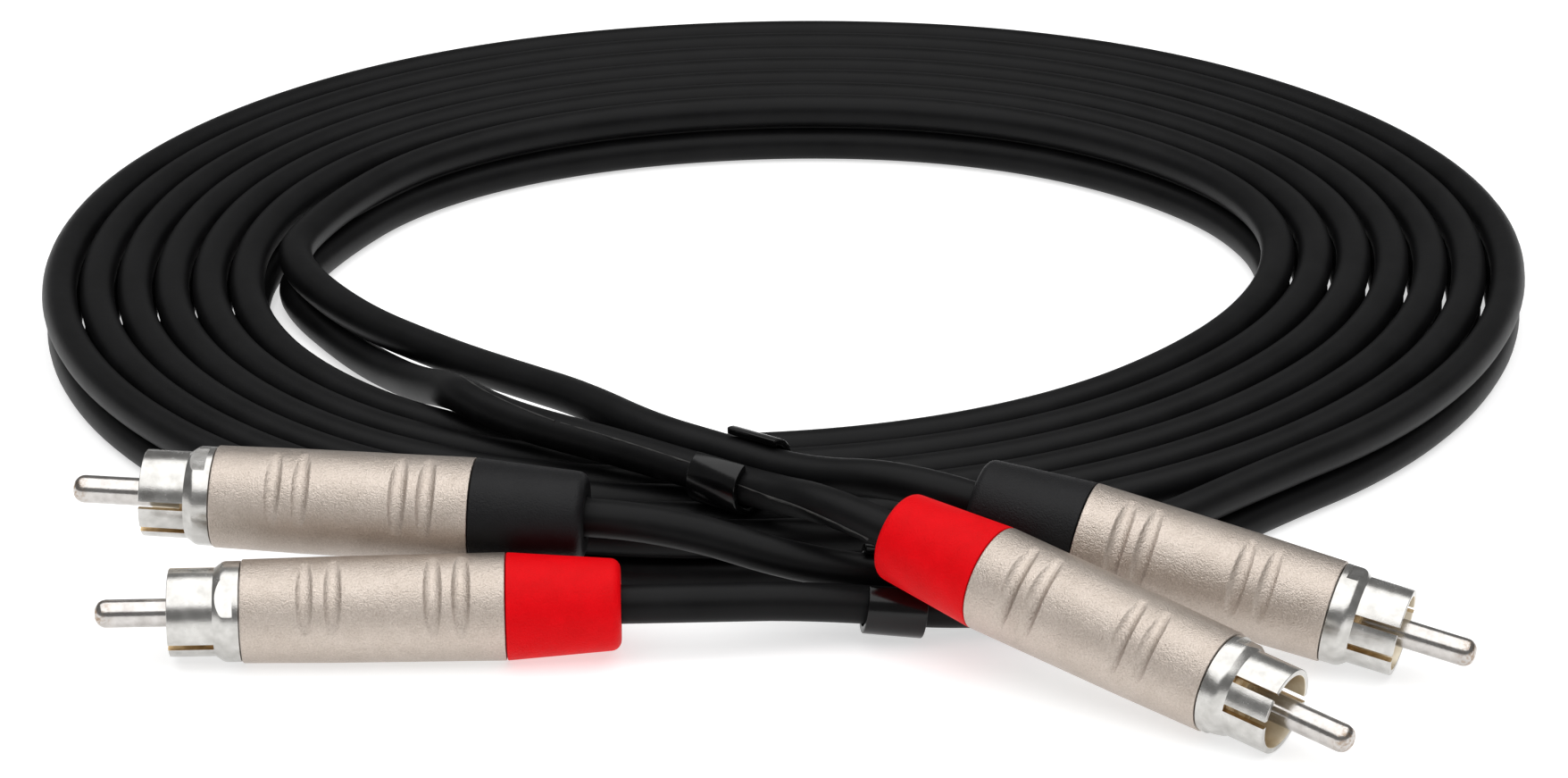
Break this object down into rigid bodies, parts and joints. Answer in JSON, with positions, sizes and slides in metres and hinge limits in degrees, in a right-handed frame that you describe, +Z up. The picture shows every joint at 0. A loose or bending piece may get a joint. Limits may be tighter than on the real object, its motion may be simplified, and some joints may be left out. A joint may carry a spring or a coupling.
{
  "type": "stereo audio interconnect cable",
  "caption": "Coiled twin audio cable with red and black phono plugs: pin, split sleeve, screw-off metal shell and rubber boot on each end.",
  "frame": {"origin": "middle of the outline on the surface that the coil lies on", "axes": "+Z up, -Y towards the four plugs, +X to the right of someone facing the plugs"},
  "size_m": [0.1906, 0.222, 0.0193],
  "materials": {
    "cable_jacket": "satin PVC",
    "champagne_nickel": "pearl nickel plate, fine satin grain",
    "satin_nickel": "nickel plate",
    "bright_nickel": "bright nickel plate",
    "pale_insulator": "moulded",
    "clamp_plastic": "moulded",
    "wire_dielectric": "smooth",
    "drain_copper": "bare twisted copper",
    "boot_red": "soft matte",
    "boot_black": "soft matte",
    "clip_plastic": "semi-gloss"
  },
  "bodies": {
    "cable": {"coil_upper": "cable_jacket", "coil_lower": "cable_jacket", "cable_tail_red_left": "cable_jacket", "cable_tail_black_left": "cable_jacket", "cable_tail_red_right": "cable_jacket", "cable_tail_black_right": "cable_jacket", "centre_pin_red_left": "bright_nickel", "insulator_red_left": "pale_insulator", "ground_sleeve_red_left": "satin_nickel", "cable_clamp_red_left": "clamp_plastic", "inner_wire_red_left": "wire_dielectric", "drain_wire_red_left": "drain_copper", "cable_end_red_left": "cable_jacket", "centre_pin_black_left": "bright_nickel", "insulator_black_left": "pale_insulator", "ground_sleeve_black_left": "satin_nickel", "cable_clamp_black_left": "clamp_plastic", "inner_wire_black_left": "wire_dielectric", "drain_wire_black_left": "drain_copper", "cable_end_black_left": "cable_jacket", "centre_pin_red_right": "bright_nickel", "insulator_red_right": "pale_insulator", "ground_sleeve_red_right": "satin_nickel", "cable_clamp_red_right": "clamp_plastic", "inner_wire_red_right": "wire_dielectric", "drain_wire_red_right": "drain_copper", "cable_end_red_right": "cable_jacket", "centre_pin_black_right": "bright_nickel", "insulator_black_right": "pale_insulator", "ground_sleeve_black_right": "satin_nickel", "cable_clamp_black_right": "clamp_plastic", "inner_wire_black_right": "wire_dielectric", "drain_wire_black_right": "drain_copper", "cable_end_black_right": "cable_jacket"},
    "boot_body_red_left": {"boot_red_left": "boot_red"},
    "shell_body_red_left": {"shell_red_left": "champagne_nickel"},
    "boot_body_black_left": {"boot_black_left": "boot_black"},
    "shell_body_black_left": {"shell_black_left": "champagne_nickel"},
    "boot_body_red_right": {"boot_red_right": "boot_red"},
    "shell_body_red_right": {"shell_red_right": "champagne_nickel"},
    "boot_body_black_right": {"boot_black_right": "boot_black"},
    "shell_body_black_right": {"shell_black_right": "champagne_nickel"},
    "clip_right_pair_body": {"clip_right_pair": "clip_plastic"},
    "clip_left_pair_body": {"clip_left_pair": "clip_plastic"}
  },
  "joints": [
    {"name": "boot_slide_red_left", "type": "slide", "parent": "cable", "child": "boot_body_red_left", "axis": [0.9997, 0.0244, 0.0087], "range_m": [0, 0.004]},
    {"name": "shell_turn_red_left", "type": "hinge", "parent": "boot_body_red_left", "child": "shell_body_red_left", "pos_m": [-0.0182, -0.08116, 0.00627], "axis": [0.9997, 0.0244, 0.0087], "range_deg": [0, 1915]},
    {"name": "boot_slide_black_left", "type": "slide", "parent": "cable", "child": "boot_body_black_left", "axis": [0.9951, -0.0976, -0.018], "range_m": [0, 0.004]},
    {"name": "shell_turn_black_left", "type": "hinge", "parent": "boot_body_black_left", "child": "shell_body_black_left", "pos_m": [-0.0223, -0.0719, 0.01274], "axis": [0.9951, -0.0976, -0.018], "range_deg": [0, 1915]},
    {"name": "boot_slide_red_right", "type": "slide", "parent": "cable", "child": "boot_body_red_right", "axis": [-0.8243, 0.5394, 0.1719], "range_m": [0, 0.004]},
    {"name": "shell_turn_red_right", "type": "hinge", "parent": "boot_body_red_right", "child": "shell_body_red_right", "pos_m": [0.0125, -0.07855, 0.01371], "axis": [-0.8243, 0.5394, 0.1719], "range_deg": [0, 1915]},
    {"name": "boot_slide_black_right", "type": "slide", "parent": "cable", "child": "boot_body_black_right", "axis": [-0.932, 0.3173, 0.1751], "range_m": [0, 0.004]},
    {"name": "shell_turn_black_right", "type": "hinge", "parent": "boot_body_black_right", "child": "shell_body_black_right", "pos_m": [0.0217, -0.07099, 0.01431], "axis": [-0.932, 0.3173, 0.1751], "range_deg": [0, 1915]},
    {"name": "clip_right_slide", "type": "slide", "parent": "cable", "child": "clip_right_pair_body", "axis": [0.8101, -0.5863, 0], "range_m": [-0.005, 0]},
    {"name": "clip_left_slide", "type": "slide", "parent": "cable", "child": "clip_left_pair_body", "axis": [-0.9861, -0.0934, 0.1377], "range_m": [-0.0015, 0.0015]}
  ],
  "couplings": [
    {"joint": "boot_slide_red_left", "follows": "shell_turn_red_left", "m_per_rad": 0.00011937},
    {"joint": "boot_slide_black_left", "follows": "shell_turn_black_left", "m_per_rad": 0.00011937},
    {"joint": "boot_slide_red_right", "follows": "shell_turn_red_right", "m_per_rad": 0.00011937},
    {"joint": "boot_slide_black_right", "follows": "shell_turn_black_right", "m_per_rad": 0.00011937}
  ]
}
